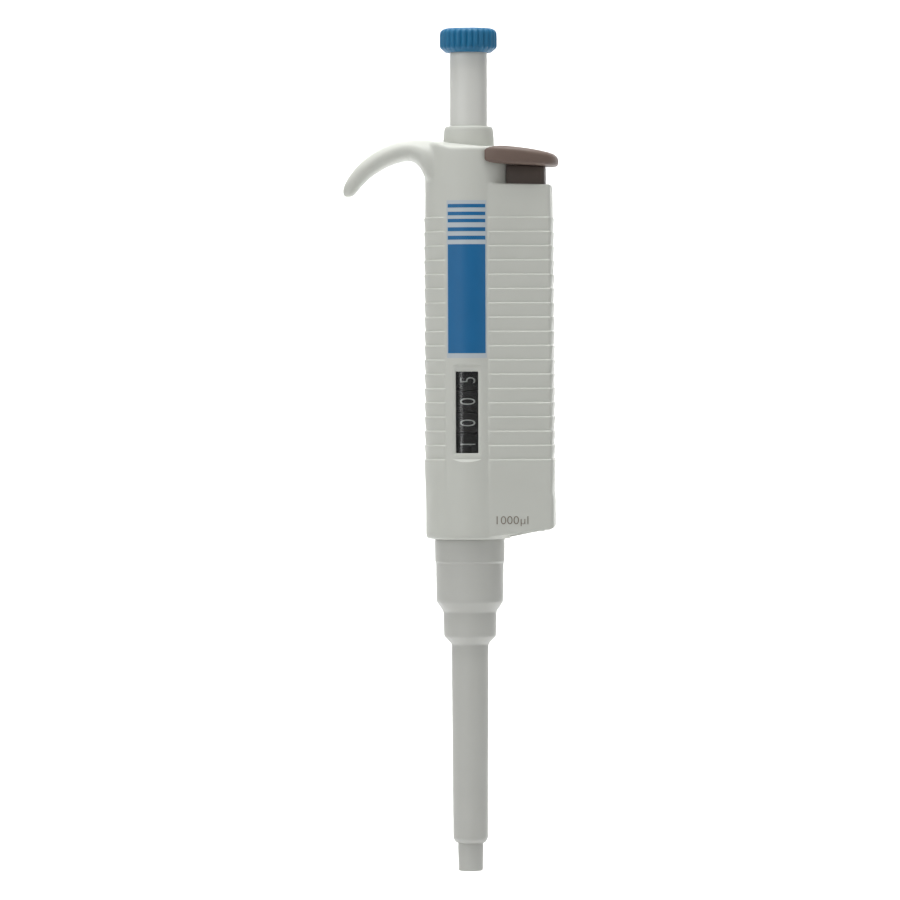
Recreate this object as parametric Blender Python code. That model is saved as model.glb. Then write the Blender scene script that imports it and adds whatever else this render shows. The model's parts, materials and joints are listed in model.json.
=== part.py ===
"""Adjustable air-displacement micropipette, 100 to 1000 microlitres, as an assembly of 42 pieces.

The world origin is the underside of the finger hook, +Z runs up along the plunger axis, and +X
points from the hook to the ejector button. Sizes below are millimetres, and heights are measured
up from the end of the tip cone on the plunger axis. Each mesh is scaled to metres when it is made.
"""
import math

import bmesh
import bpy
from mathutils import Vector

MM = 0.001
GAP = 0.3

# Where the hook's underside is, seen from the nozzle's end: this is the world origin.
HOOK_X = -17.3
HOOK_HEIGHT = 203.1

# Handle
HANDLE_R = 12.5
HANDLE_BOTTOM = 95.2
TOWER_TOP = 207.0
SHELF_TOP = 196.4
SHELF_SLOPE = 0.015
WALL = 1.9
CAVITY_R = HANDLE_R - WALL
BAY_INNER_X = 3.0
BAY_END_TOP_X = 23.7
BAY_END_LOW_X = 24.1
BAY_START_X = 6.0
BAY_START_HALF = 10.97
BAY_END_HALF = 8.3
BAY_CORNER_R = 1.5
BASE_BAND_TOP = 107.5
BASE_BAND_PROUD = 0.35
RIB_TOP = 186.8
RIB_PITCH = 4.05
RIB_COUNT = 18
RIB_PROUD = 0.35
PANEL_HALF_ANGLE = 29.6
EJECTOR_X = 16.5

# Ejector pad and the stem that carries it
PAD_LOW = 202.1
PAD_SLOPE = 0.045
PAD_CROWN = 0.006
PAD_CENTRE_X = 12.0
PAD_REACH_X = 13.6
PAD_REACH_Y = 13.2
STEM_HALF = 6.6
STEM_END_X = 21.9
STEM_LOW = 186.3
STEM_CORNER_R = 1.5

# Window, label and counter
WINDOW_HALF = 3.2
WINDOW_LOW = 119.8
WINDOW_HIGH = 143.0
BEZEL = 1.9
LABEL_HALF = 5.9
LABEL_LOW = 146.8
LABEL_HIGH = 191.6
WHEEL_R = 10.0
WHEEL_BORE_R = 7.3
WHEEL_HEIGHT = 5.8
WHEEL_PITCH = 6.1
LOWEST_WHEEL = 119.4
PINION_X = 11.4
PINION_Y = 5.3
PINION_TEETH = 8

# Air cylinder and piston
PISTON_R = 4.46
CYLINDER_R = 4.75
BARREL_R = 6.25
SEAT_R = 5.6
SPIGOT_TOP = 112.0

# Plunger
TUBE_R = 5.35
TUBE_BORE_R = 4.75
TUBE_BOTTOM = 204.0
KNOB_R = 8.16
KNOB_LOW = 233.9
KNOB_HIGH = 240.8
KNOB_FLUTES = 26
ROD_HEX_R = 2.2

for old in list(bpy.data.objects):
    bpy.data.objects.remove(old, do_unlink=True)


def new_material(name, color, roughness, metallic=0.0, transmission=0.0):
    material = bpy.data.materials.new(name)
    material.use_nodes = True
    shader = material.node_tree.nodes["Principled BSDF"]
    shader.inputs["Base Color"].default_value = (*color, 1.0)
    shader.inputs["Roughness"].default_value = roughness
    shader.inputs["Metallic"].default_value = metallic
    shader.inputs["Transmission Weight"].default_value = transmission
    material.diffuse_color = (*color, 1.0)
    return material


SHELL_WHITE = new_material("shell_white", (0.50, 0.51, 0.48), 0.42)
SLEEVE_WHITE = new_material("sleeve_white", (0.47, 0.48, 0.45), 0.40)
KNOB_BLUE = new_material("knob_blue", (0.02, 0.16, 0.33), 0.38)
LABEL_BLUE = new_material("label_blue", (0.02, 0.14, 0.31), 0.35)
BROWN = new_material("ejector_brown", (0.13, 0.085, 0.065), 0.5)
DARK_BROWN = new_material("stem_brown", (0.06, 0.045, 0.038), 0.5)
WHEEL_BLACK = new_material("wheel_black", (0.01, 0.01, 0.01), 0.45)
CLEAR = new_material("window_clear", (0.9, 0.92, 0.92), 0.08, transmission=1.0)
FRAME_GREY = new_material("frame_grey", (0.3, 0.3, 0.3), 0.5)
STEEL = new_material("steel", (0.55, 0.55, 0.57), 0.25, metallic=1.0)
BRASS = new_material("brass", (0.6, 0.45, 0.2), 0.3, metallic=1.0)
WAXY_WHITE = new_material("waxy_white", (0.7, 0.7, 0.68), 0.5)
RUBBER = new_material("seal_rubber", (0.02, 0.02, 0.02), 0.7)


def new_empty(name, x, y, z):
    empty = bpy.data.objects.new(name, None)
    empty.location = Vector((x, y, z)) * MM
    bpy.context.collection.objects.link(empty)
    return empty


PLUNGER_AXIS = new_empty("plunger_axis", -HOOK_X, 0.0, -HOOK_HEIGHT)
EJECTOR_AXIS = new_empty("ejector_axis", EJECTOR_X - HOOK_X, 0.0, -HOOK_HEIGHT)
PINION_AXIS = new_empty("pinion_axis", PINION_X - HOOK_X, PINION_Y, -HOOK_HEIGHT)


def place(bm, name, material, parent=PLUNGER_AXIS, base=0.0, sharp=32.0):
    """Make the bmesh, drawn in millimetres from its base height, an object on its parent axis."""
    bmesh.ops.remove_doubles(bm, verts=bm.verts, dist=1e-4)
    bmesh.ops.recalc_face_normals(bm, faces=bm.faces)
    bmesh.ops.translate(bm, verts=bm.verts, vec=(0.0, 0.0, -base))
    bmesh.ops.scale(bm, verts=bm.verts, vec=(MM, MM, MM))
    mesh = bpy.data.meshes.new(name)
    bm.to_mesh(mesh)
    bm.free()
    mesh.shade_smooth()
    mesh.set_sharp_from_angle(angle=math.radians(sharp))
    obj = bpy.data.objects.new(name, mesh)
    if material:
        mesh.materials.append(material)
    obj.parent = parent
    obj.location.z = base * MM
    bpy.context.collection.objects.link(obj)
    return obj


def turned_mesh(profile, segments):
    """A profile of (radius, height) points turned about Z; it closes on itself or on the axis."""
    bm = bmesh.new()
    verts = [bm.verts.new((r, 0.0, z)) for r, z in profile]
    edges = [bm.edges.new(pair) for pair in zip(verts, verts[1:])]
    if profile[0][0] > 0.0 or profile[-1][0] > 0.0:
        edges.append(bm.edges.new((verts[-1], verts[0])))
    bmesh.ops.spin(
        bm, geom=verts + edges, cent=(0, 0, 0), axis=(0, 0, 1),
        angle=math.tau, steps=segments, use_merge=True,
    )
    return bm


def turned(name, profile, material, segments=28, parent=PLUNGER_AXIS):
    base = min(z for _, z in profile)
    return place(turned_mesh(profile, segments), name, material, parent, base)


def lofted_mesh(loops):
    """A closed skin over loops of equally many points, with flat ends."""
    bm = bmesh.new()
    rows = [[bm.verts.new(point) for point in loop] for loop in loops]
    count = len(rows[0])
    for lower, upper in zip(rows, rows[1:]):
        for i in range(count):
            j = (i + 1) % count
            bm.faces.new((lower[i], lower[j], upper[j], upper[i]))
    bm.faces.new(reversed(rows[0]))
    bm.faces.new(rows[-1])
    return bm


def prism_mesh(outline, low, high):
    return lofted_mesh([[(x, y, z) for x, y in outline] for z in (low, high)])


def polygon(radius, sides, phase=0.0):
    angles = [phase + math.tau * i / sides for i in range(sides)]
    return [(radius * math.cos(a), radius * math.sin(a)) for a in angles]


def sector(inner, outer, half_angle, steps=8):
    """Outline of a ring sector centred on -Y, the front."""
    front = -math.pi / 2
    angles = [front - half_angle + 2 * half_angle * i / steps for i in range(steps + 1)]
    outside = [(outer * math.cos(a), outer * math.sin(a)) for a in angles]
    inside = [(inner * math.cos(a), inner * math.sin(a)) for a in reversed(angles)]
    return outside + inside


def cut(target, bm, operation="DIFFERENCE"):
    """Apply a hidden body to the target with an exact Boolean."""
    cutter = place(bm, f"{target.name}.{operation.lower()}.{len(target.modifiers)}", None)
    cutter.hide_render = True
    cutter.display_type = "WIRE"
    modifier = target.modifiers.new(cutter.name, "BOOLEAN")
    modifier.operation = operation
    modifier.solver = "EXACT"
    modifier.object = cutter


# Handle shell ----------------------------------------------------------------------------------


def smooth(t):
    t = min(1.0, max(0.0, t))
    return t * t * (3.0 - 2.0 * t)


def underside(x):
    """Height of the handle's underside: flat round the sleeve, rising under the ejector bay."""
    return HANDLE_BOTTOM + max(0.0, x - 9.0) * 0.19


def tower_top(x):
    """Height of the tower's top, which rises on the hook's side."""
    return TOWER_TOP + 2.0 * smooth((-3.5 - x) / 9.0)


def rib_levels():
    """(height, share of the rib's depth) from the top down, a ledge and a taper for each rib."""
    levels = []
    for i in range(RIB_COUNT):
        ledge = RIB_TOP - RIB_PITCH * i
        levels.append((ledge + 0.15, 0.0))
        levels.append((ledge - 0.15, 1.0))
    levels.append((104.0, 0.4))
    return levels


def round_loop(z, proud, inset=0.0, top=False):
    """Circle about the plunger axis. The front panel and the side under the bay carry no ribs."""
    left = 270.0 - PANEL_HALF_ANGLE
    ribbed = [61.0 + (left - 62.0) * i / 12 for i in range(13)]
    panel = [left + (301.0 - left) * i / 10 for i in range(11)]
    hidden = [301.0 + 120.0 * (i + 1) / 7 for i in range(6)]
    loop = []
    for degrees in ribbed + panel + hidden:
        radius = HANDLE_R - inset + (proud if degrees in ribbed else 0.0)
        x = radius * math.cos(math.radians(degrees))
        y = radius * math.sin(math.radians(degrees))
        loop.append((x, y, tower_top(x) - z if top else z))
    return loop


def bay_outline(end_x, shrink=0.0, inner_x=BAY_INNER_X):
    """Section of the ejector bay: flanks that close in towards a rounded end."""
    slope = (BAY_START_HALF - BAY_END_HALF) / (BAY_END_TOP_X - BAY_START_X)
    corner = max(0.6, BAY_CORNER_R - shrink)
    centre_x = end_x - shrink - corner
    half = BAY_START_HALF - shrink + slope * BAY_START_X
    centre_y = half - slope * centre_x - corner
    front = [(inner_x, slope * inner_x - half)]
    for i in range(5):
        angle = math.radians(-90.0 + 22.5 * i)
        front.append((centre_x + corner * math.cos(angle), corner * math.sin(angle) - centre_y))
    return front + [(x, -y) for x, y in reversed(front)]


def shelf_height(x):
    """Height of the bay's top, which falls a little towards its end."""
    return SHELF_TOP - SHELF_SLOPE * (x - BAY_START_X)


def shelf_loop(drop, shrink):
    outline = bay_outline(BAY_END_TOP_X, shrink)
    return [(x, y, shelf_height(x) - drop) for x, y in outline]


def bay_loop(z, proud, shrink=0.0, base=False):
    share = (SHELF_TOP - z) / (SHELF_TOP - HANDLE_BOTTOM)
    end_x = BAY_END_TOP_X + (BAY_END_LOW_X - BAY_END_TOP_X) * share
    if base or z < BASE_BAND_TOP:
        end_x += BASE_BAND_PROUD
    outline = bay_outline(end_x, shrink - proud)
    if base:
        return [(x, y, underside(x) + z) for x, y in outline]
    return [(x, y, z) for x, y in outline]


def hook_loops():
    """Sections of the finger hook from its tip to inside the tower.

    Each station is the middle of a section (x, height), its half thickness and half width.
    """
    stations = [
        (-34.6, 193.0, 0.9, 1.6), (-34.5, 193.9, 1.7, 3.0), (-33.4, 196.2, 2.1, 4.0),
        (-30.6, 199.5, 2.45, 4.9), (-27.4, 202.1, 2.65, 5.5), (-23.6, 204.3, 2.8, 6.0),
        (-19.6, 205.7, 2.95, 6.5), (-16.2, 206.1, 3.05, 7.2), (-14.2, 205.4, 3.75, 8.0),
        (-12.6, 203.9, 5.2, 8.6), (-10.6, 202.0, 6.9, 8.6), (-8.0, 201.6, 6.6, 8.0),
    ]
    sides = 14
    loops = []
    for i, (x, z, thick, wide) in enumerate(stations):
        before = stations[max(0, i - 1)]
        after = stations[min(len(stations) - 1, i + 1)]
        run = Vector((after[0] - before[0], 0.0, after[1] - before[1])).normalized()
        if x > -15.0:
            run = Vector((1.0, 0.0, 0.0))
        up = Vector((-run.z, 0.0, run.x))
        loop = []
        for k in range(sides):
            angle = math.tau * k / sides
            across = math.copysign(abs(math.cos(angle)) ** 0.8, math.cos(angle)) * wide
            rise = math.copysign(abs(math.sin(angle)) ** 0.8, math.sin(angle)) * thick
            loop.append(Vector((x, 0.0, z)) + Vector((0.0, 1.0, 0.0)) * across + up * rise)
        loops.append(loop)
    return loops


def handle_shell():
    rounds = [round_loop(HANDLE_BOTTOM, 0.0, 1.2), round_loop(HANDLE_BOTTOM + 0.35, 0.0, 0.35),
              round_loop(HANDLE_BOTTOM + 1.2, 0.0)]
    rounds += [round_loop(z, RIB_PROUD * share) for z, share in reversed(rib_levels())]
    rounds += [round_loop(1.0, 0.0, 0.0, True), round_loop(0.3, 0.0, 0.3, True),
               round_loop(0.0, 0.0, 1.1, True)]
    shell = place(lofted_mesh(rounds), "handle_shell", SHELL_WHITE)

    bays = [bay_loop(0.0, 0.0, 0.8, True), bay_loop(0.5, 0.0, 0.0, True)]
    bays += [bay_loop(103.0, 0.1), bay_loop(BASE_BAND_TOP - 0.5, 0.2), bay_loop(BASE_BAND_TOP + 0.5, 0.25)]
    bays += [bay_loop(z, RIB_PROUD * share) for z, share in reversed(rib_levels()[:-1])]
    bays += [shelf_loop(1.2, 0.0), shelf_loop(0.25, 0.1), shelf_loop(0.0, 0.5)]
    cut(shell, lofted_mesh(bays), "UNION")
    cut(shell, lofted_mesh(hook_loops()), "UNION")

    cut(shell, turned_mesh([(0.0, 97.4), (CAVITY_R, 97.4), (CAVITY_R, 204.3), (0.0, 204.3)], 32))
    cavity = bay_outline(BAY_END_TOP_X, WALL, 7.0)
    cut(shell, prism_mesh(cavity, 99.3, 194.8))
    cut(shell, prism_mesh(bay_outline(BAY_END_TOP_X, WALL + 1.0, 11.6), 90.0, 101.0))
    cut(shell, turned_mesh([(0.0, 90.0), (10.35, 90.0), (10.35, 98.5), (0.0, 98.5)], 40))
    cut(shell, turned_mesh([(0.0, 203.0), (7.2, 203.0), (7.2, 206.85), (7.6, 206.85), (7.6, 215.0),
                            (0.0, 215.0)], 32))
    cut(shell, prism_mesh(stem_outline(GAP), 180.9, 205.5))
    cut(shell, prism_mesh(box_outline(-WINDOW_HALF, WINDOW_HALF, -16.0, -8.0), WINDOW_LOW, WINDOW_HIGH))
    cut(shell, bezel_mesh())
    cut(shell, prism_mesh(sector(11.9, 14.0, LABEL_HALF / HANDLE_R), LABEL_LOW, LABEL_HIGH))


def box_outline(x0, x1, y0, y1):
    return [(x0, y0), (x1, y0), (x1, y1), (x0, y1)]


def bezel_mesh():
    """Sloping sides of the recess round the window."""
    bm = bmesh.new()
    rows = []
    for y, grow in ((-13.2, BEZEL + 1.0), (-11.6, 0.1)):
        x = WINDOW_HALF + grow * 0.9
        low = WINDOW_LOW - grow
        high = WINDOW_HIGH + grow
        rows.append([bm.verts.new(p) for p in ((-x, y, low), (x, y, low), (x, y, high), (-x, y, high))])
    for i in range(4):
        j = (i + 1) % 4
        bm.faces.new((rows[0][i], rows[0][j], rows[1][j], rows[1][i]))
    bm.faces.new(rows[0])
    bm.faces.new(rows[1])
    return bm


def stem_outline(grow=0.0):
    """The ejector stem's block, hollowed on the left to follow the tower's round."""
    half = STEM_HALF + grow
    hug = HANDLE_R + GAP - grow + 0.05
    turn = math.asin(half / hug)
    hollow = [turn - 2 * turn * i / 8 for i in range(9)]
    points = [(hug * math.cos(a), hug * math.sin(a)) for a in hollow]
    corner = STEM_CORNER_R
    for start, centre_y in ((-90.0, corner - half), (0.0, half - corner)):
        for i in range(4):
            angle = math.radians(start + 30.0 * i)
            x = STEM_END_X + grow - corner + corner * math.cos(angle)
            points.append((x, centre_y + corner * math.sin(angle)))
    return points


def bay_cover():
    """Slanted plate that closes the bay's underside."""
    outline = bay_outline(BAY_END_TOP_X, WALL + 1.0 + GAP, 11.9)
    loops = [[(x, y, underside(x) + rise) for x, y in outline] for rise in (0.1, 2.2)]
    cover = place(lofted_mesh(loops), "bay_cover", SHELL_WHITE)
    cut(cover, turned_mesh([(0.0, 90.0), (10.35, 90.0), (10.35, 105.0), (0.0, 105.0)], 40))


def front_pieces():
    lens_half = (WINDOW_HALF - 0.15) / 11.3
    lens = prism_mesh(sector(10.9, 11.6, lens_half, 6), WINDOW_LOW + 0.15, WINDOW_HIGH - 0.15)
    place(lens, "window_lens", CLEAR, base=WINDOW_LOW)
    label_half = (LABEL_HALF - 0.12) / HANDLE_R
    label = prism_mesh(sector(12.2, 12.52, label_half, 10), LABEL_LOW + 0.12, LABEL_HIGH - 0.12)
    place(label, "front_label", LABEL_BLUE, base=LABEL_LOW)


# Plunger ---------------------------------------------------------------------------------------


def top_collar():
    turned("top_collar", [
        (TUBE_R + GAP, 205.6), (6.9, 205.6), (6.9, 207.15), (7.3, 207.15), (7.25, 209.0), (7.0, 211.9),
        (6.65, 212.9), (TUBE_R + GAP, 212.9)], SHELL_WHITE, 28)


def plunger_pieces():
    turned("plunger_tube", [
        (TUBE_BORE_R, TUBE_BOTTOM), (6.6, TUBE_BOTTOM), (6.6, 205.2), (TUBE_R, 205.2), (TUBE_R, 236.2),
        (TUBE_BORE_R, 236.2)], SHELL_WHITE, 32)
    knob_loops = []
    for z, radius, depth in ((KNOB_LOW, 6.4, 0.0), (234.6, 7.6, 0.15), (235.6, KNOB_R, 0.4),
                             (239.2, KNOB_R, 0.4), (240.2, 7.6, 0.2), (KNOB_HIGH, 6.9, 0.0)):
        loop = []
        for i in range(KNOB_FLUTES * 2):
            angle = math.tau * i / (KNOB_FLUTES * 2)
            reach = radius - (depth if i % 2 == 0 else 0.0)
            loop.append((reach * math.cos(angle), reach * math.sin(angle), z))
        knob_loops.append(loop)
    knob = place(lofted_mesh(knob_loops), "push_button", KNOB_BLUE, base=KNOB_LOW)
    cut(knob, turned_mesh([(0.0, 230.0), (TUBE_R + GAP, 230.0), (TUBE_R + GAP, 236.5), (0.0, 236.5)], 28))
    cut(knob, turned_mesh([(0.0, 239.9), (6.1, 239.9), (6.1, 243.0), (0.0, 243.0)], 28))
    turned("button_cap", [(0.0, 240.15), (5.9, 240.15), (5.9, 240.55), (5.65, KNOB_HIGH),
                          (0.0, KNOB_HIGH)], KNOB_BLUE, 28)
    rod = prism_mesh(polygon(ROD_HEX_R, 6), 138.3, 236.2)
    place(rod, "operating_rod", STEEL, base=138.3)
    turned("rod_collar", [(2.5, 166.1), (3.0, 166.1), (3.0, 167.6), (2.5, 167.6)], STEEL, 20)


def piston_pieces():
    turned("piston", [(0.0, 90.0), (4.2, 90.0), (PISTON_R, 90.5), (PISTON_R, 114.5), (2.2, 115.0),
                      (2.2, 136.0), (0.0, 136.0)], STEEL, 24)
    turned("piston_head", [(0.0, 136.3), (2.5, 136.3), (2.5, 134.0), (5.4, 134.0), (5.4, 138.0),
                           (0.0, 138.0)], BRASS, 24)


# Cylinder and tip ------------------------------------------------------------------------------


def cylinder_pieces():
    turned("tip_cone", [
        (1.6, 0.0), (3.3, 0.0), (3.56, 0.3), (3.69, 8.2), (3.75, 12.0), (3.75, 62.0), (BARREL_R, 68.5),
        (BARREL_R, 95.6), (6.9, 95.6), (6.9, 97.0), (SEAT_R, 97.0), (SEAT_R, 92.0), (CYLINDER_R, 92.0),
        (CYLINDER_R, 69.0), (1.6, 63.0)], SLEEVE_WHITE, 28)
    turned("cone_nut", [(6.55, 93.0), (8.05, 93.0), (8.05, 103.7), (7.3, 103.7), (7.3, 95.3),
                        (6.55, 95.3)], FRAME_GREY, 28)
    turned("piston_seal", [(PISTON_R + GAP, 92.3), (5.3, 92.3), (5.3, 94.2), (PISTON_R + GAP, 94.2)],
           WAXY_WHITE, 24)
    ring = [(5.04 + 0.27 * math.cos(math.tau * i / 5), 94.8 + 0.27 * math.sin(math.tau * i / 5))
            for i in range(5)]
    turned("seal_o_ring", ring, RUBBER, 24)
    turned("seal_retainer", [(PISTON_R + GAP, 95.4), (5.3, 95.4), (5.3, 99.0), (PISTON_R + GAP, 99.0)],
           WAXY_WHITE, 24)


def coil(name, material, radius, wire, low, high, turns, parent=PLUNGER_AXIS):
    """Compression spring whose first and last turns lie flat."""
    steps = 10
    sides = 5
    loops = []
    for i in range(int(turns * steps) + 1):
        share = i / (turns * steps)
        flat = 0.9 / turns
        rise = min(1.0, max(0.0, (share - flat) / (1.0 - 2.0 * flat)))
        ground = wire * 2.15 * (min(share, flat) + max(0.0, share - 1.0 + flat)) / flat
        z = low + wire + ground + rise * (high - low - 2.0 * wire - 2.0 * wire * 2.15)
        angle = math.tau * i / steps
        loop = []
        for k in range(sides):
            turn = math.tau * k / sides
            reach = radius + wire * math.cos(turn)
            loop.append((reach * math.cos(angle), reach * math.sin(angle), z + wire * math.sin(turn)))
        loops.append(loop)
    place(lofted_mesh(loops), name, material, parent, low)


# Counter ---------------------------------------------------------------------------------------


def counter_pieces():
    frame = turned("counter_frame", [
        (5.8, 97.3), (7.0, 97.3), (7.0, 104.0), (8.0, 104.3), (8.0, SPIGOT_TOP), (10.3, SPIGOT_TOP),
        (10.3, 118.0), (7.0, 118.4), (7.0, 143.8), (5.8, 143.8)], FRAME_GREY)
    ear = prism_mesh([(PINION_X + x, PINION_Y + y) for x, y in polygon(2.6, 16)], 113.0, 116.0)
    cut(frame, ear, "UNION")
    cut(frame, prism_mesh([(PINION_X + x, PINION_Y + y) for x, y in polygon(1.1, 12)], 110.0, 117.0))
    names = ("thousands_wheel", "hundreds_wheel", "tens_wheel", "units_wheel")
    for i, name in enumerate(names):
        low = LOWEST_WHEEL + WHEEL_PITCH * i
        high = low + WHEEL_HEIGHT
        turned(name, [(WHEEL_BORE_R, low), (WHEEL_R - 0.2, low), (WHEEL_R, low + 0.2),
                      (WHEEL_R, high - 0.2), (WHEEL_R - 0.2, high), (WHEEL_BORE_R, high)],
               WHEEL_BLACK, 30)
    for i in range(3):
        low = LOWEST_WHEEL + WHEEL_PITCH * (i + 1) - 2.2
        outline = []
        for k in range(PINION_TEETH * 4):
            angle = math.tau * (k + 0.5) / (PINION_TEETH * 4)
            reach = 2.1 if k % 4 < 2 else 1.6
            outline.append((reach * math.cos(angle), reach * math.sin(angle)))
        pinion = place(prism_mesh(outline, low, low + 4.0), f"carry_pinion_{i + 1}", WAXY_WHITE,
                       PINION_AXIS, low)
        bore = turned_mesh([(0.0, low - 1.0), (1.1, low - 1.0), (1.1, low + 5.0), (0.0, low + 5.0)], 12)
        bmesh.ops.translate(bore, verts=bore.verts, vec=(PINION_X, PINION_Y, 0.0))
        cut(pinion, bore)
    turned("carry_shaft", [(0.0, 111.5), (0.8, 111.5), (0.8, 143.0), (0.0, 143.0)], STEEL, 12, PINION_AXIS)
    drive = turned("drive_disc", [(3.4, 144.2), (9.4, 144.2), (9.4, 145.0), (4.4, 145.4), (4.4, 146.3),
                                  (3.4, 146.3)], BRASS, 28)
    hub = lofted_mesh([[(x, y, z) for x, y in polygon(3.9, 24)] for z in (144.3, 146.2)])
    cut(drive, hub, "UNION")
    cut(drive, prism_mesh(polygon(ROD_HEX_R + 0.3, 6), 140.0, 150.0))


# Volume setting and second stop ----------------------------------------------------------------


def setting_pieces():
    turned("stop_ring", [(3.35, 167.9), (4.4, 167.9), (4.4, 168.9), (3.35, 168.9)], WAXY_WHITE, 24)
    screw = turned("setting_screw", [
        (3.35, 169.2), (4.0, 169.2), (4.4, 169.6), (4.4, 191.6), (4.0, 192.0), (2.9, 192.0),
        (2.9, 183.4), (3.35, 183.4)], WAXY_WHITE, 24)
    cut(screw, lofted_mesh([[(x, y, z) for x, y in polygon(3.5, 24)] for z in (184.0, 191.5)]), "UNION")
    cut(screw, prism_mesh(polygon(ROD_HEX_R + 0.3, 6), 180.0, 195.0))
    turned("setting_nut", [(4.7, 170.3), (7.9, 170.3), (7.9, 176.0), (4.7, 176.0)], BRASS, 24)
    turned("nut_carrier", [(8.2, 168.0), (10.3, 168.0), (10.3, 178.0), (6.0, 178.0), (6.0, 176.3),
                           (8.2, 176.3)], FRAME_GREY, 28)
    turned("blowout_disc", [(5.65, 186.1), (10.2, 186.1), (10.2, 187.6), (5.65, 187.6)], STEEL, 28)


# Tip ejector -----------------------------------------------------------------------------------


def pad_height(height, x):
    """The pad's top is crowned and its underside is flat; both fall towards its end."""
    run = x - 5.0
    if height > 204.0:
        return height - PAD_CROWN * run ** 2
    return height - PAD_SLOPE * run


def pad_loop(height, inset):
    """Section of the thumb pad: its left side wraps round the tower and stops inside the flanks."""
    hug = HANDLE_R + 0.35 + inset
    reach_x = PAD_REACH_X - inset
    reach_y = PAD_REACH_Y - inset
    turn = math.asin((0.947 * reach_y - 0.76 + 0.19 * inset) / hug)
    wrap = [turn - 2.0 * turn * i / 16 for i in range(17)]
    points = [(hug * math.cos(a), hug * math.sin(a)) for a in wrap]
    for i in range(21):
        angle = math.radians(-112.0 + 224.0 * i / 20)
        along = math.copysign(abs(math.cos(angle)) ** 0.72, math.cos(angle))
        across = math.copysign(abs(math.sin(angle)) ** 0.72, math.sin(angle))
        points.append((PAD_CENTRE_X + reach_x * along, reach_y * across))
    return [(x - EJECTOR_X, y, pad_height(height, x)) for x, y in points]


def stem_mesh():
    """The stem's block, whose top follows the pad's underside."""
    low = [(x - EJECTOR_X, y, STEM_LOW) for x, y in stem_outline()]
    high = [(x - EJECTOR_X, y, pad_height(PAD_LOW - GAP, x)) for x, y in stem_outline()]
    return lofted_mesh([low, high])


def ejector_pieces():
    pads = [pad_loop(PAD_LOW, 1.0), pad_loop(202.4, 0.3), pad_loop(203.0, 0.0), pad_loop(205.9, 0.0),
            pad_loop(206.8, 0.5), pad_loop(207.2, 1.4)]
    place(lofted_mesh(pads), "ejector_button", BROWN, EJECTOR_AXIS, 202.0)
    stem = place(stem_mesh(), "ejector_stem", DARK_BROWN, EJECTOR_AXIS, STEM_LOW)
    socket = prism_mesh([(x + EJECTOR_X, y) for x, y in polygon(2.3, 16)], 180.0, 190.3)
    cut(stem, socket)
    turned("ejector_rod", [(0.0, 104.8), (2.0, 104.8), (2.0, 190.0), (0.0, 190.0)], STEEL, 16, EJECTOR_AXIS)
    turned("rod_clip", [(2.3, 108.6), (3.3, 108.6), (3.3, 109.4), (2.3, 109.4)], STEEL, 16, EJECTOR_AXIS)
    guide = place(prism_mesh(box_outline(-4.6, 4.6, -5.0, 5.0), 172.0, 175.5), "ejector_guide",
                  FRAME_GREY, EJECTOR_AXIS, 172.0)
    cut(guide, prism_mesh([(x + EJECTOR_X, y) for x, y in polygon(2.3, 16)], 170.0, 178.0))
    arm = turned("ejector_arm", [(8.4, 105.3), (10.1, 105.3), (10.1, 108.3), (8.4, 108.3)], SLEEVE_WHITE, 32)
    cut(arm, prism_mesh(box_outline(9.0, 20.3, -3.6, 3.6), 105.3, 108.3), "UNION")
    cut(arm, turned_mesh([(0.0, 104.0), (8.4, 104.0), (8.4, 110.0), (0.0, 110.0)], 32))
    cut(arm, prism_mesh([(x + EJECTOR_X, y) for x, y in polygon(2.3, 16)], 100.0, 112.0))
    turned("ejector_sleeve", [
        (4.05, 8.15), (4.3, 8.15), (5.02, 9.3), (5.33, 65.0), (7.5, 67.3), (7.66, 74.3), (9.45, 77.0),
        (9.6, 77.5), (9.7, 88.3), (9.95, 88.7), (10.03, 95.2), (10.03, 105.0), (8.4, 105.0),
        (8.4, 78.5), (6.6, 75.5), (6.6, 68.6), (4.05, 61.5)], SLEEVE_WHITE, 28)


def build():
    handle_shell()
    bay_cover()
    front_pieces()
    top_collar()
    plunger_pieces()
    piston_pieces()
    cylinder_pieces()
    counter_pieces()
    setting_pieces()
    ejector_pieces()
    coil("main_spring", STEEL, 5.13, 0.35, 99.3, 133.7, 9)
    coil("blowout_spring", STEEL, 7.5, 0.35, 178.3, 185.8, 3)
    coil("ejector_spring", STEEL, 3.2, 0.4, 175.8, 186.0, 5, EJECTOR_AXIS)


build()
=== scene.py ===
"""Looks of the adjustable micropipette: fine moulded shapes, printed parts and materials.

Sizes are millimetres from the end of the tip cone, as in the design, and are turned into metres
when a mesh is made. Only the frame's boxes place things: the plunger axis comes from the cone.
"""
import json
import math

import bmesh
import bpy
from mathutils import Matrix, Vector


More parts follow.
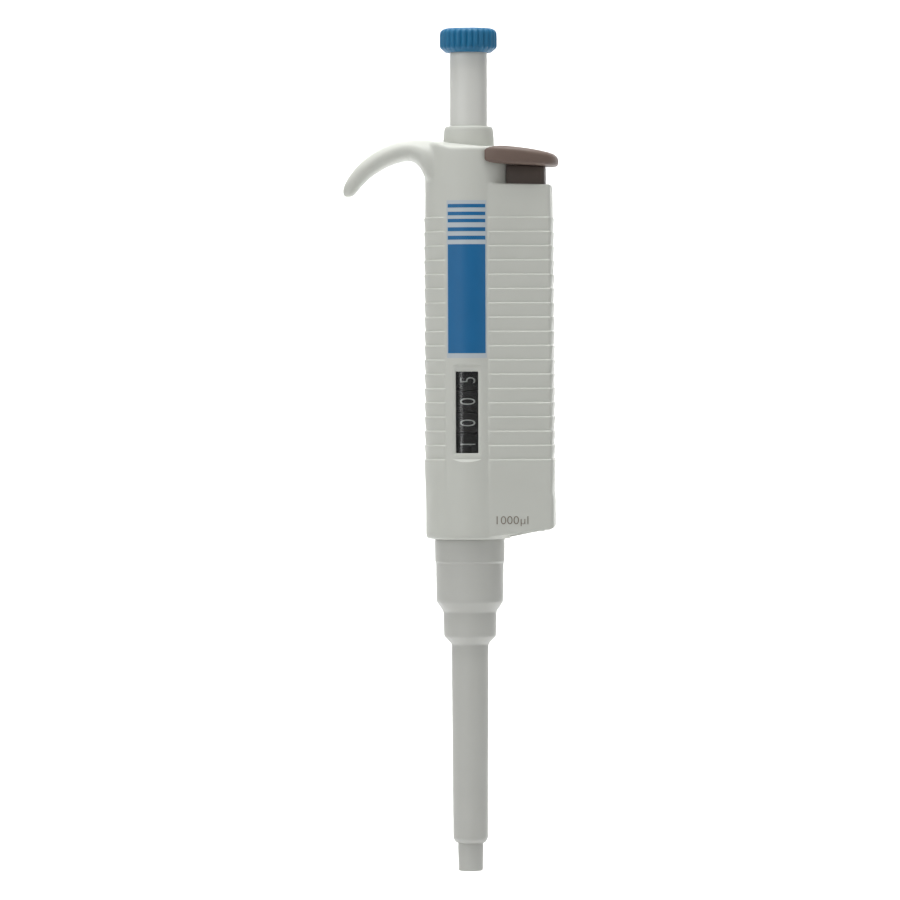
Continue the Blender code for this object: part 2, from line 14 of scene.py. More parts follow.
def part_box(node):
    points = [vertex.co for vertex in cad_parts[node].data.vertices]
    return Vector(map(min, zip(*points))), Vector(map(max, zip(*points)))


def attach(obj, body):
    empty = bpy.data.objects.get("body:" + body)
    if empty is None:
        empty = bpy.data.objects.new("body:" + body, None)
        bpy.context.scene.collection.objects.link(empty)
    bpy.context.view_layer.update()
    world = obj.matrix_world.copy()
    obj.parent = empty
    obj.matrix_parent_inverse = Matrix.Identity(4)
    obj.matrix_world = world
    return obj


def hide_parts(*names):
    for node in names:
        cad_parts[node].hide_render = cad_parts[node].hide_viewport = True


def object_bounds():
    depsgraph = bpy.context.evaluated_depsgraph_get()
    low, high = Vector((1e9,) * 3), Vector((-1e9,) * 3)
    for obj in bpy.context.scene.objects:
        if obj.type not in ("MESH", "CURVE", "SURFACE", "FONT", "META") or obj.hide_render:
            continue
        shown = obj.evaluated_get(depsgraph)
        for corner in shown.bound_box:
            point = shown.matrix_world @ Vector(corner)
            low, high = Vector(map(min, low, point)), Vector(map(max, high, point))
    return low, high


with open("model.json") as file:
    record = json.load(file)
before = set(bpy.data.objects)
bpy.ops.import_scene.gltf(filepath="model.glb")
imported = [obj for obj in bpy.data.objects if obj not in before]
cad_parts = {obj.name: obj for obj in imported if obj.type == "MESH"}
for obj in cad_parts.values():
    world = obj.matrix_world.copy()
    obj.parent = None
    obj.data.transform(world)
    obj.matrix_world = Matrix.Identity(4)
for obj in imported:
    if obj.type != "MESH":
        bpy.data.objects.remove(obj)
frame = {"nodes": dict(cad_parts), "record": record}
cad_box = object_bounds()

MM = 0.001
GAP = 0.3

# The plunger axis and the nozzle's end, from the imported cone
CONE_LOW, CONE_HIGH = (Vector(corner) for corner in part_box("tip_cone"))
AXIS_X = (CONE_LOW.x + CONE_HIGH.x) / 2
AXIS_Y = (CONE_LOW.y + CONE_HIGH.y) / 2
NOZZLE_Z = CONE_LOW.z
ORIGIN = Vector((AXIS_X, AXIS_Y, NOZZLE_Z))

# Handle
HANDLE_R = 12.5
HANDLE_BOTTOM = 95.2
TOWER_TOP = 207.0
SHELF_TOP = 196.4
SHELF_SLOPE = 0.015
WALL = 1.9

# Ejector bay
BAY_INNER_X = 3.0
BAY_END_TOP_X = 23.7
BAY_END_LOW_X = 24.1
BAY_START_X = 6.0
BAY_START_HALF = 10.97
BAY_END_HALF = 8.3
BAY_CORNER_R = 1.1

# Ribs, and the plain band below them
BASE_BAND_TOP = 107.5
BASE_BAND_PROUD = 0.35
RIB_TOP = 186.8
RIB_PITCH = 4.05
RIB_COUNT = 18
RIB_PROUD = 0.38
# The remeshed handle has twelve rows of vertices to a rib.
ROW = RIB_PITCH / 12

# Front panel, window and label
PANEL_LEFT = -6.2
PANEL_RIGHT = 6.0
WINDOW_HALF = 3.2
WINDOW_LOW = 119.8
WINDOW_HIGH = 143.0
LABEL_HALF = 5.9
LABEL_LOW = 146.8
LABEL_HIGH = 191.6

# Number wheels
WHEEL_R = 10.0
WHEEL_PITCH = 6.1
LOWEST_WHEEL = 119.4
WHEEL_HEIGHT = 5.8

# Button
KNOB_R = 8.16
TUBE_R = 5.35
# The front's direction as an angle about the plunger axis
FRONT = -math.pi / 2


# Materials -------------------------------------------------------------------------------------

# Noise scales of a surface's colour, gloss and grain, per metre
CLOUD_SCALE = 70.0
SMEAR_SCALE = 240.0
FINE_SCALE = 2600.0
TURNED_SCALE = 900.0
# Turned metal is streaked round its axis.
TURNED_STREAK = (1.0, 1.0, 12.0)
GLOSS_BELOW = 0.06
GLOSS_ABOVE = 0.08
BUMP_STRENGTH = 0.35


def srgb(r, g, b):
    """Linear colour from 0-255 display values."""
    def linear(v):
        v /= 255.0
        return v / 12.92 if v <= 0.04045 else ((v + 0.055) / 1.055) ** 2.4
    return (linear(r), linear(g), linear(b), 1.0)


def shifted(color, factor):
    return (*[min(1.0, c * factor) for c in color[:3]], 1.0)


def noise(nodes, links, place, scale, detail):
    """A noise texture node that reads the given mapping node."""
    texture = nodes.new("ShaderNodeTexNoise")
    texture.inputs["Scale"].default_value = scale
    texture.inputs["Detail"].default_value = detail
    links.new(place.outputs["Vector"], texture.inputs["Vector"])
    return texture


def plastic(name, color, roughness=0.42, vary=0.06, grain=0.02, grain_scale=FINE_SCALE,
            subsurface=0.0, metallic=0.0, streak=(1.0, 1.0, 1.0)):
    """Moulded or turned surface: cloudy colour, uneven gloss and a fine surface grain."""
    material = bpy.data.materials.new(name)
    material.use_nodes = True
    nodes = material.node_tree.nodes
    links = material.node_tree.links
    shader = nodes["Principled BSDF"]
    shader.inputs["Metallic"].default_value = metallic
    shader.inputs["Subsurface Weight"].default_value = subsurface
    shader.inputs["Subsurface Radius"].default_value = (0.002, 0.0018, 0.0016)
    shader.inputs["Subsurface Scale"].default_value = 1.0
    where = nodes.new("ShaderNodeTexCoord")
    stretch = nodes.new("ShaderNodeMapping")
    stretch.inputs["Scale"].default_value = streak
    links.new(where.outputs["Object"], stretch.inputs["Vector"])

    cloud = noise(nodes, links, stretch, CLOUD_SCALE, 5.0)
    tint = nodes.new("ShaderNodeValToRGB")
    tint.color_ramp.elements[0].position = 0.3
    tint.color_ramp.elements[0].color = shifted(color, 1.0 - vary)
    tint.color_ramp.elements[1].position = 0.7
    tint.color_ramp.elements[1].color = shifted(color, 1.0 + vary)
    links.new(cloud.outputs["Fac"], tint.inputs["Fac"])
    links.new(tint.outputs["Color"], shader.inputs["Base Color"])

    smear = noise(nodes, links, stretch, SMEAR_SCALE, 3.0)
    gloss = nodes.new("ShaderNodeMapRange")
    gloss.inputs["To Min"].default_value = roughness - GLOSS_BELOW
    gloss.inputs["To Max"].default_value = roughness + GLOSS_ABOVE
    links.new(smear.outputs["Fac"], gloss.inputs["Value"])
    links.new(gloss.outputs["Result"], shader.inputs["Roughness"])

    fine = noise(nodes, links, stretch, grain_scale, 2.0)
    bump = nodes.new("ShaderNodeBump")
    bump.inputs["Strength"].default_value = BUMP_STRENGTH
    bump.inputs["Distance"].default_value = grain * MM
    links.new(fine.outputs["Fac"], bump.inputs["Height"])
    links.new(bump.outputs["Normal"], shader.inputs["Normal"])
    return material


def clear_plastic(name):
    material = plastic(name, (0.93, 0.95, 0.95, 1.0), 0.1, 0.01, 0.0008)
    shader = material.node_tree.nodes["Principled BSDF"]
    shader.inputs["Transmission Weight"].default_value = 1.0
    shader.inputs["IOR"].default_value = 1.4
    return material


SHELL = plastic("shell_plastic", srgb(199, 201, 194), 0.46, 0.015, 0.02, subsurface=0.05)
SLEEVE = plastic("sleeve_plastic", srgb(190, 191, 186), 0.42, 0.015, 0.015, subsurface=0.05)
SHAFT = plastic("shaft_plastic", srgb(212, 213, 208), 0.36, 0.015, 0.012, subsurface=0.05)
KNOB = plastic("knob_plastic", srgb(10, 104, 146), 0.48, 0.05, 0.03)
PRINT_BLUE = plastic("label_ink", srgb(6, 99, 152), 0.4, 0.04, 0.008)
FILM = plastic("label_film", srgb(184, 193, 198), 0.36, 0.01, 0.006)
BROWN = plastic("button_brown", srgb(106, 89, 80), 0.5, 0.06, 0.04)
# The block under the pad is the pad's brown made darker: painted shade for the shadow under the
# pad.
STEM_BROWN_PAINTED_SHADE = plastic("stem_brown", srgb(84, 73, 66), 0.5, 0.06, 0.03)
WHEEL = plastic("wheel_black", srgb(24, 24, 22), 0.45, 0.1, 0.02)
DIGIT = plastic("digit_ink", srgb(200, 202, 198), 0.5, 0.03, 0.01)
PRINT_GREY = plastic("print_grey", srgb(122, 112, 100), 0.5, 0.05, 0.01)
FRAME_GREY = plastic("frame_grey", srgb(150, 152, 150), 0.5, 0.04, 0.03)
STEEL = plastic("turned_steel", srgb(196, 198, 200), 0.26, 0.05, 0.01, TURNED_SCALE,
                metallic=1.0, streak=TURNED_STREAK)
BRASS = plastic("turned_brass", srgb(205, 176, 108), 0.28, 0.06, 0.01, TURNED_SCALE,
                metallic=1.0, streak=TURNED_STREAK)
PTFE = plastic("seal_ptfe", srgb(228, 228, 224), 0.55, 0.02, 0.01, subsurface=0.1)
RUBBER = plastic("seal_rubber", srgb(40, 40, 40), 0.65, 0.1, 0.03)
CLEAR = clear_plastic("window_plastic")


# Mesh helpers ----------------------------------------------------------------------------------

# The most of an edge that the rounding of one of its corners takes up
ROUNDING_SHARE = 0.45


def make(bm, name, material, sharp=40.0):
    """An object from a bmesh drawn in millimetres about the plunger axis."""
    bmesh.ops.remove_doubles(bm, verts=bm.verts, dist=1e-4)
    bmesh.ops.recalc_face_normals(bm, faces=bm.faces)
    to_frame = Matrix.Translation(ORIGIN) @ Matrix.Scale(MM, 4)
    bmesh.ops.transform(bm, matrix=to_frame, verts=bm.verts)
    mesh = bpy.data.meshes.new(name)
    bm.to_mesh(mesh)
    bm.free()
    mesh.shade_smooth()
    mesh.set_sharp_from_angle(angle=math.radians(sharp))
    obj = bpy.data.objects.new(name, mesh)
    if material:
        mesh.materials.append(material)
    bpy.context.scene.collection.objects.link(obj)
    return obj


def turned(name, profile, material, segments=96, rounding=0.0):
    """A closed profile turned about the plunger axis, its corners rounded over."""
    points = rounded(profile, rounding) if rounding else profile
    bm = bmesh.new()
    verts = [bm.verts.new((r, 0.0, z)) for r, z in points]
    edges = [bm.edges.new(pair) for pair in zip(verts, verts[1:])]
    if points[0][0] > 0.0 or points[-1][0] > 0.0:
        edges.append(bm.edges.new((verts[-1], verts[0])))
    bmesh.ops.spin(bm, geom=verts + edges, cent=(0, 0, 0), axis=(0, 0, 1), angle=math.tau,
                   steps=segments, use_merge=True)
    return make(bm, name, material)


def rounded(profile, radius, steps=4):
    """Each corner of a closed profile replaced by a short curve."""
    out = []
    count = len(profile)
    closed = profile[0][0] > 0.0 or profile[-1][0] > 0.0
    for i, corner in enumerate(profile):
        here = Vector(corner)
        if not closed and i in (0, count - 1):
            out.append(tuple(here))
            continue
        before = Vector(profile[i - 1]) - here
        after = Vector(profile[(i + 1) % count]) - here
        reach = min(radius, before.length * ROUNDING_SHARE, after.length * ROUNDING_SHARE)
        start = here + before.normalized() * reach
        end = here + after.normalized() * reach
        for k in range(steps + 1):
            t = k / steps
            out.append(tuple((1 - t) ** 2 * start + 2 * t * (1 - t) * here + t ** 2 * end))
    return out


def lofted(loops):
    """Skin over loops of equally many points, closed at both ends."""
    bm = bmesh.new()
    rows = [[bm.verts.new(point) for point in loop] for loop in loops]
    count = len(rows[0])
    for lower, upper in zip(rows, rows[1:]):
        for i in range(count):
            j = (i + 1) % count
            bm.faces.new((lower[i], lower[j], upper[j], upper[i]))
    bm.faces.new(reversed(rows[0]))
    bm.faces.new(rows[-1])
    return bm


def prism(outline, low, high):
    return lofted([[(x, y, z) for x, y in outline] for z in (low, high)])


def disc(radius, low, high, segments=96):
    angles = [math.tau * i / segments for i in range(segments)]
    return prism([(radius * math.cos(a), radius * math.sin(a)) for a in angles], low, high)


def sector(inner, outer, left, right, steps=24):
    """Ring sector between two places along the front's arc, left and right in millimetres."""
    start = FRONT + left / HANDLE_R
    end = FRONT + right / HANDLE_R
    angles = [start + (end - start) * i / steps for i in range(steps + 1)]
    outside = [(outer * math.cos(a), outer * math.sin(a)) for a in angles]
    inside = [(inner * math.cos(a), inner * math.sin(a)) for a in reversed(angles)]
    return outside + inside


def apply_modifiers(obj):
    depsgraph = bpy.context.evaluated_depsgraph_get()
    mesh = bpy.data.meshes.new_from_object(obj.evaluated_get(depsgraph))
    obj.modifiers.clear()
    obj.data = mesh


def boolean(target, bm, operation="DIFFERENCE"):
    cutter = make(bm, "cutter", None)
    modifier = target.modifiers.new("cut", "BOOLEAN")
    modifier.operation = operation
    modifier.solver = "EXACT"
    modifier.object = cutter
    apply_modifiers(target)
    bpy.data.objects.remove(cutter, do_unlink=True)


def smooth(t):
    """0 to 1 with a level start and end."""
    t = min(1.0, max(0.0, t))
    return t * t * (3.0 - 2.0 * t)


def squared(value, power):
    """A sine or cosine raised to a power with its sign kept, for squarish rounds."""
    return math.copysign(abs(value) ** power, value)


# Handle ----------------------------------------------------------------------------------------

TOWER_SIDES = 128
# The underside slants up from here to the bay's end.
SLANT_START_X = 9.0
SLANT_SLOPE = 0.19
# The tower's top rises towards the hook.
RISE_START_X = -3.5
RISE_RUN = 9.0
RISE_HEIGHT = 2.0
# Height over which the base band steps out
BAND_STEP = 1.2
BAY_LEAST_CORNER_R = 0.6
# The hook is blended into the tower to the left of this x and above this height.
BLEND_START_X = -7.5
BLEND_RUN = 3.0
BLEND_LOW = 188.0
BLEND_RISE = 6.0
BLEND_ROUNDS = 40
# Squareness of the hook's section: 1 is an ellipse, and less is squarer
HOOK_POWER = 0.8
# From here on the hook's sections stand upright.
UPRIGHT_START_X = -16.5
UPRIGHT_RUN = 2.5
# Middle (x, height), half thickness and half width of the hook's sections, from the tip inwards
HOOK_STATIONS = (
    (-34.55, 192.8, 0.8, 1.4), (-34.5, 193.6, 1.65, 2.9), (-33.5, 195.9, 2.15, 4.0),
    (-30.6, 199.5, 2.45, 4.9), (-27.4, 202.1, 2.65, 5.5), (-23.6, 204.3, 2.8, 6.0),
    (-19.6, 205.7, 2.95, 6.5), (-16.2, 206.1, 3.05, 7.2), (-14.2, 205.4, 3.75, 8.0),
    (-12.6, 203.9, 5.2, 8.6), (-10.6, 202.0, 6.9, 8.6), (-8.0, 201.6, 6.6, 8.0),
)
# Heights of the bay's sections, closest where the base band ends
BAY_HEIGHTS = (103.0, 106.6, 107.2, 107.8, 108.4, 150.0, 194.0)
# Below the lowest rib its depth fades out over this height.
RIB_FADE = 14.0
# Where the rows of vertices are moved for the ribs
ROWS_LOW = 96.5
ROWS_HIGH = RIB_TOP + 2.0
# Past this depth inside the bay's flank, a vertex belongs to the bay's end.
FLANK_DEPTH = 0.8
# Widths over which the ribs fade in at the panel's two sides
PANEL_LEFT_FADE = 0.5
PANEL_RIGHT_FADE = 0.4
SHARP_ANGLE = math.radians(38.0)
# Hollows as (radius, low, high): the bore, the sleeve's mouth, and the collar's hole and seat
BORE = (HANDLE_R - WALL, 97.4, 204.3)
MOUTH = (10.35, 90.0, 98.5)
COLLAR_HOLE = (7.2, 203.0, 215.0)
COLLAR_SEAT = (7.5, 206.85, 215.0)
# The bay's room and the opening that its cover closes, as (inner x, low, high)
BAY_ROOM = (7.0, 99.3, 194.8)
COVER_OPENING = (11.6, 90.0, 101.0)
COVER_LEDGE = 1.0
STEM_WELL_LOW = 180.9
STEM_WELL_HIGH = 205.5
LABEL_RECESS_R = 11.9
LABEL_RECESS_OUTER_R = 14.5
# The window's cut from inside to outside: y, wider, taller and corner radius of each section
WINDOW_SECTIONS = (
    (-8.0, 0.0, 0.0, 0.25), (-11.6, 0.0, 0.0, 0.25), (-11.72, 0.15, 0.15, 0.4),
    (-11.78, 2.4, 1.7, 0.9), (-12.6, 2.6, 2.6, 1.5), (-13.6, 2.9, 3.9, 2.0),
)
# The block under the pad, which hugs the tower with a little more than the gap
STEM_HALF = 6.6
STEM_END_X = 21.9
STEM_HUG_EXTRA = 0.05
STEM_HUG_STEPS = 24
STEM_CORNER_STEPS = 8


def underside(x):
    return HANDLE_BOTTOM + max(0.0, x - SLANT_START_X) * SLANT_SLOPE


def tower_top(x):
    return TOWER_TOP + RISE_HEIGHT * smooth((RISE_START_X - x) / RISE_RUN)


def round_loop(z, inset=0.0, top=False):
    """The tower's section at a height, or at a depth below its sloping top."""
    loop = []
    for i in range(TOWER_SIDES):
        angle = math.tau * i / TOWER_SIDES
        x = (HANDLE_R - inset) * math.cos(angle)
        y = (HANDLE_R - inset) * math.sin(angle)
        loop.append((x, y, tower_top(x) - z if top else z))
    return loop


def bay_half(x, shrink=0.0):
    """Half the bay's width at an x."""
    slope = (BAY_START_HALF - BAY_END_HALF) / (BAY_END_TOP_X - BAY_START_X)
    return BAY_START_HALF - shrink - slope * (x - BAY_START_X)


def bay_outline(end_x, shrink=0.0, inner_x=BAY_INNER_X):
    """Section of the ejector bay: flanks that close in towards a rounded end."""
    corner = max(BAY_LEAST_CORNER_R, BAY_CORNER_R - shrink)
    centre_x = end_x - shrink - corner
    centre_y = bay_half(centre_x, shrink) - corner
    front = [(inner_x, -bay_half(inner_x, shrink))]
    for i in range(13):
        angle = math.radians(-90.0 + 7.5 * i)
        front.append((centre_x + corner * math.cos(angle), corner * math.sin(angle) - centre_y))
    return front + [(x, -y) for x, y in reversed(front)]


def bay_end(z):
    """How far out the bay reaches at a height, with the base band."""
    share = (SHELF_TOP - z) / (SHELF_TOP - HANDLE_BOTTOM)
    band = BASE_BAND_PROUD * smooth((BASE_BAND_TOP + BAND_STEP / 2 - z) / BAND_STEP)
    return BAY_END_TOP_X + (BAY_END_LOW_X - BAY_END_TOP_X) * share + band


def bay_loop(z, shrink=0.0, base=False):
    """The bay's section at a height, or at a height above its slanting underside."""
    outline = bay_outline(bay_end(HANDLE_BOTTOM if base else z), shrink)
    return [(x, y, underside(x) + z if base else z) for x, y in outline]


def shelf_loop(drop, shrink):
    """Section just under the bay's top, which falls a little towards its end."""
    outline = bay_outline(BAY_END_TOP_X, shrink)
    return [(x, y, SHELF_TOP - SHELF_SLOPE * (x - BAY_START_X) - drop) for x, y in outline]


def between(points, t):
    """Catmull-Rom value at t along a list of equally long tuples."""
    i = min(int(t), len(points) - 2)
    f = t - i
    p0, p1 = points[max(0, i - 1)], points[i]
    p2, p3 = points[i + 1], points[min(len(points) - 1, i + 2)]
    return [0.5 * (2 * b + (c - a) * f + (2 * a - 5 * b + 4 * c - d) * f * f
                   + (3 * b - a - 3 * c + d) * f ** 3) for a, b, c, d in zip(p0, p1, p2, p3)]


def hook_loops(fine=6, sides=48):
    """Sections of the hook square to its middle line, from the tip inwards."""
    count = (len(HOOK_STATIONS) - 1) * fine
    line = [between(HOOK_STATIONS, i / fine) for i in range(count + 1)]
    loops = []
    for i, (x, z, thick, wide) in enumerate(line):
        before = line[max(0, i - 1)]
        after = line[min(count, i + 1)]
        run = Vector((after[0] - before[0], 0.0, after[1] - before[1])).normalized()
        turn = smooth((x - UPRIGHT_START_X) / UPRIGHT_RUN)
        run = (run * (1.0 - turn) + Vector((1.0, 0.0, 0.0)) * turn).normalized()
        up = Vector((-run.z, 0.0, run.x))
        loop = []
        for k in range(sides):
            angle = math.tau * k / sides
            across = squared(math.cos(angle), HOOK_POWER) * wide
            rise = squared(math.sin(angle), HOOK_POWER) * thick
            loop.append(Vector((x, across, z)) + up * rise)
        loops.append(loop)
    return loops


def soften_hook(shell):
    """Blend the hook into the tower over a couple of millimetres."""
    group = shell.vertex_groups.new(name="hook")
    for vertex in shell.data.vertices:
        place = (vertex.co - ORIGIN) / MM
        inward = smooth((BLEND_START_X - place.x) / BLEND_RUN)
        weight = inward * smooth((place.z - BLEND_LOW) / BLEND_RISE)
        if weight > 0.0:
            group.add([vertex.index], weight, "REPLACE")
    blend = shell.modifiers.new("blend", "SMOOTH")
    blend.factor = 0.5
    blend.iterations = BLEND_ROUNDS
    blend.vertex_group = "hook"
    apply_modifiers(shell)


def rib_share(z):
    """Share of the rib's depth at a height: a ledge at each rib's top, tapering away below it."""
    if z > RIB_TOP:
        return 0.0
    lowest = RIB_TOP - RIB_PITCH * (RIB_COUNT - 1)
    if z < lowest:
        return 1.0 - smooth((lowest - z) / RIB_FADE)
    down = (RIB_TOP - z) % RIB_PITCH
    return 1.0 - down / RIB_PITCH


def row_height(z):
    """The nearest height halfway between two rows that a rib's ledge starts from."""
    count = round((z - RIB_TOP) / ROW - 0.5)
    return RIB_TOP + (count + 0.5) * ROW


def panel_mask(x, y):
    """1 on the ribbed flanks, 0 on the smooth front panel."""
    if y > 0.0:
        return 1.0
    left = smooth((PANEL_LEFT - x) / PANEL_LEFT_FADE + 0.5)
    right = smooth((x - PANEL_RIGHT) / PANEL_RIGHT_FADE)
    return max(left, right)


def rib_direction(place):
    """The way the ribs stand out at a place on the handle."""
    if place.x > BAY_START_X and abs(place.y) < bay_half(place.x) - FLANK_DEPTH:
        return Vector((1.0, 0.0, 0.0))
    if place.x > BAY_START_X:
        return Vector((0.15, math.copysign(0.99, place.y), 0.0))
    return Vector((place.x, place.y, 0.0)).normalized()


def handle():
    """The moulded handle: tower, bay and hook joined, ribbed, then hollowed and opened."""
    rounds = [round_loop(HANDLE_BOTTOM, 0.7), round_loop(HANDLE_BOTTOM + 0.3, 0.2),
              round_loop(HANDLE_BOTTOM + 1.2), round_loop(1.0, 0.0, True),
              round_loop(0.3, 0.3, True), round_loop(0.0, 1.0, True)]
    shell = make(lofted(rounds), "handle", SHELL)
    bays = [bay_loop(0.0, 0.8, True), bay_loop(0.5, 0.0, True)]
    bays += [bay_loop(z) for z in BAY_HEIGHTS]
    bays += [shelf_loop(0.3, 0.0), shelf_loop(0.0, 0.3)]
    boolean(shell, lofted(bays), "UNION")
    boolean(shell, lofted(hook_loops()), "UNION")

    remesh = shell.modifiers.new("remesh", "REMESH")
    remesh.mode = "VOXEL"
    remesh.voxel_size = ROW * MM
    remesh.use_smooth_shade = True
    soften = shell.modifiers.new("soften", "SMOOTH")
    soften.factor = 0.5
    soften.iterations = 3
    apply_modifiers(shell)
    soften_hook(shell)
    for vertex in shell.data.vertices:
        place = (vertex.co - ORIGIN) / MM
        if ROWS_LOW < place.z < ROWS_HIGH:
            out = rib_direction(place)
            row = row_height(place.z)
            depth = RIB_PROUD * rib_share(row) * panel_mask(place.x, place.y)
            vertex.co += (out * depth + Vector((0.0, 0.0, row - place.z))) * MM

    boolean(shell, disc(*BORE))
    for shrink, (inner_x, low, high) in ((WALL, BAY_ROOM), (WALL + COVER_LEDGE, COVER_OPENING)):
        boolean(shell, prism(bay_outline(BAY_END_TOP_X, shrink, inner_x), low, high))
    boolean(shell, disc(*MOUTH))
    boolean(shell, disc(*COLLAR_HOLE))
    boolean(shell, disc(*COLLAR_SEAT))
    boolean(shell, prism(stem_outline(GAP), STEM_WELL_LOW, STEM_WELL_HIGH))
    boolean(shell, window_cut())
    recess = sector(LABEL_RECESS_R, LABEL_RECESS_OUTER_R, -LABEL_HALF, LABEL_HALF)
    boolean(shell, prism(recess, LABEL_LOW, LABEL_HIGH))
    shell.data.shade_smooth()
    shell.data.set_sharp_from_angle(angle=SHARP_ANGLE)
    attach(shell, "handle")
    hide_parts("handle_shell")


def rounded_box(half_x, low, high, corner, steps=6):
    """Points of an upright rounded rectangle in the XZ plane."""
    right, left = half_x - corner, -half_x + corner
    bottom, top = low + corner, high - corner
    points = []
    for cx, cz, start in ((right, bottom, -90.0), (right, top, 0.0),
                          (left, top, 90.0), (left, bottom, 180.0)):
        for i in range(steps + 1):
            angle = math.radians(start + 90.0 * i / steps)
            points.append((cx + corner * math.cos(angle), cz + corner * math.sin(angle)))
    return points


def window_cut():
    """The window's opening in a flat facet whose ends slope out to the round of the handle."""
    loops = []
    for y, wider, taller, corner in WINDOW_SECTIONS:
        outline = rounded_box(WINDOW_HALF + wider, WINDOW_LOW - taller, WINDOW_HIGH + taller,
                              corner)
        loops.append([(x, y, z) for x, z in outline])
    return lofted(loops)


def stem_outline(grow=0.0, corner=1.5):
    """Section of the block that carries the pad, or of the well it slides in."""
    half = STEM_HALF + grow
    hug = HANDLE_R + GAP - grow + STEM_HUG_EXTRA
    turn = math.asin(half / hug)
    angles = [turn - 2 * turn * i / STEM_HUG_STEPS for i in range(STEM_HUG_STEPS + 1)]
    points = [(hug * math.cos(a), hug * math.sin(a)) for a in angles]
    end = STEM_END_X + grow
    for side, start in ((-1.0, -90.0), (1.0, 0.0)):
        for i in range(STEM_CORNER_STEPS + 1):
            angle = math.radians(start + 90.0 * i / STEM_CORNER_STEPS)
            points.append((end - corner + corner * math.cos(angle),
                           side * (half - corner) + corner * math.sin(angle)))
    return points


# Front panel -----------------------------------------------------------------------------------

LENS_INNER_R = 10.9
LENS_OUTER_R = 11.6
LENS_HALF = 3.36
LENS_GAP = 0.15
FILM_INNER_R = 12.2
FILM_GAP = 0.03
INK_INNER_R = 12.48
INK_OUTER_R = 12.53
INK_HALF = 5.5
# The label's blue field and the five bars above it
INK_BANDS = ((148.2, 179.1), (180.4, 181.5), (182.8, 183.9), (185.3, 186.3), (187.3, 188.3),
             (189.5, 190.5))


def front_pieces():
    lens_outline = sector(LENS_INNER_R, LENS_OUTER_R, -LENS_HALF, LENS_HALF)
    lens = make(prism(lens_outline, WINDOW_LOW + LENS_GAP, WINDOW_HIGH - LENS_GAP), "lens", CLEAR)
    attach(lens, "handle")
    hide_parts("window_lens")
    edge = LABEL_HALF - FILM_GAP
    film_outline = sector(FILM_INNER_R, HANDLE_R, -edge, edge)
    film = make(prism(film_outline, LABEL_LOW + FILM_GAP, LABEL_HIGH - FILM_GAP), "label_sheet",
                FILM)
    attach(film, "handle")
    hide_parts("front_label")
    bm = bmesh.new()
    for low, high in INK_BANDS:
        add_prism(bm, sector(INK_INNER_R, INK_OUTER_R, -INK_HALF, INK_HALF), low, high)
    ink = make(bm, "label_ink", PRINT_BLUE)
    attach(ink, "handle")


def add_prism(bm, outline, low, high):
    """A prism added to a bmesh that already holds others."""
    lower = [bm.verts.new((x, y, low)) for x, y in outline]
    upper = [bm.verts.new((x, y, high)) for x, y in outline]
    for i in range(len(outline)):
        j = (i + 1) % len(outline)
        bm.faces.new((lower[i], lower[j], upper[j], upper[i]))
    bm.faces.new(reversed(lower))
    bm.faces.new(upper)


# Turned pieces ---------------------------------------------------------------------------------

# Closed profiles as (radius, height)
COLLAR_PROFILE = (
    (TUBE_R + GAP, 205.6), (6.9, 205.6), (6.9, 207.1), (7.3, 207.1), (7.25, 209.0), (7.0, 211.9),
    (6.65, 212.9), (TUBE_R + GAP, 212.9),
)
TUBE_PROFILE = (
    (4.75, 204.0), (6.6, 204.0), (6.6, 205.2), (TUBE_R, 205.2), (TUBE_R, 236.2), (4.75, 236.2),
)
CONE_PROFILE = (
    (1.6, 0.0), (3.3, 0.0), (3.56, 0.3), (3.69, 8.2), (3.75, 12.0), (3.75, 62.0), (6.25, 68.5),
    (6.25, 95.6), (6.9, 95.6), (6.9, 97.0), (5.6, 97.0), (5.6, 92.0), (4.75, 92.0), (4.75, 69.0),
    (1.6, 63.0),
)
SLEEVE_PROFILE = (
    (4.05, 8.15), (4.3, 8.15), (5.02, 9.3), (5.33, 65.0), (7.5, 67.3), (7.66, 74.3), (9.45, 77.0),
    (9.6, 77.6), (9.7, 88.2), (9.95, 88.7), (10.03, 95.2), (10.03, 105.0), (8.4, 105.0),
    (8.4, 78.5), (6.6, 75.5), (6.6, 68.6), (4.05, 61.5),
)
CAP_PROFILE = (
    (0.0, 240.15), (5.95, 240.15), (5.95, 240.55), (5.75, 240.75), (0.0, 240.75),
)
# The knob's sections as height, radius and depth of the flutes
KNOB_SECTIONS = (
    (233.9, 6.3, 0.0), (234.0, 6.6, 0.0), (234.8, 7.55, 0.1), (235.2, 7.95, 0.35),
    (235.6, 8.14, 0.5), (236.3, KNOB_R, 0.55), (238.9, KNOB_R, 0.55), (239.5, 8.1, 0.5),
    (240.0, 7.9, 0.35), (240.4, 7.5, 0.1), (240.65, 7.1, 0.0), (240.8, 6.6, 0.0),
)
KNOB_FLUTES = 28
# Points round the knob to a flute, and the power that narrows the grooves
FLUTE_POINTS = 10
FLUTE_POWER = 2.6
TUBE_SOCKET = (TUBE_R + GAP, 230.0, 236.5)
CAP_RECESS = (6.1, 239.9, 243.0)
KNOB_SHARP_ANGLE = math.radians(40.0)


def outer_turned():
    collar = turned("collar", COLLAR_PROFILE, SHELL, 128, 0.5)
    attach(collar, "handle")
    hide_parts("top_collar")
    tube = turned("button_tube", TUBE_PROFILE, SHAFT, 128, 0.15)
    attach(tube, "button")
    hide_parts("plunger_tube")
    cone = turned("nozzle", CONE_PROFILE, SLEEVE, 96, 0.15)
    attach(cone, "handle")
    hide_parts("tip_cone")
    sleeve = turned("tip_ejector_tube", SLEEVE_PROFILE, SLEEVE, 128, 0.5)
    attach(sleeve, "ejector")
    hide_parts("ejector_sleeve")


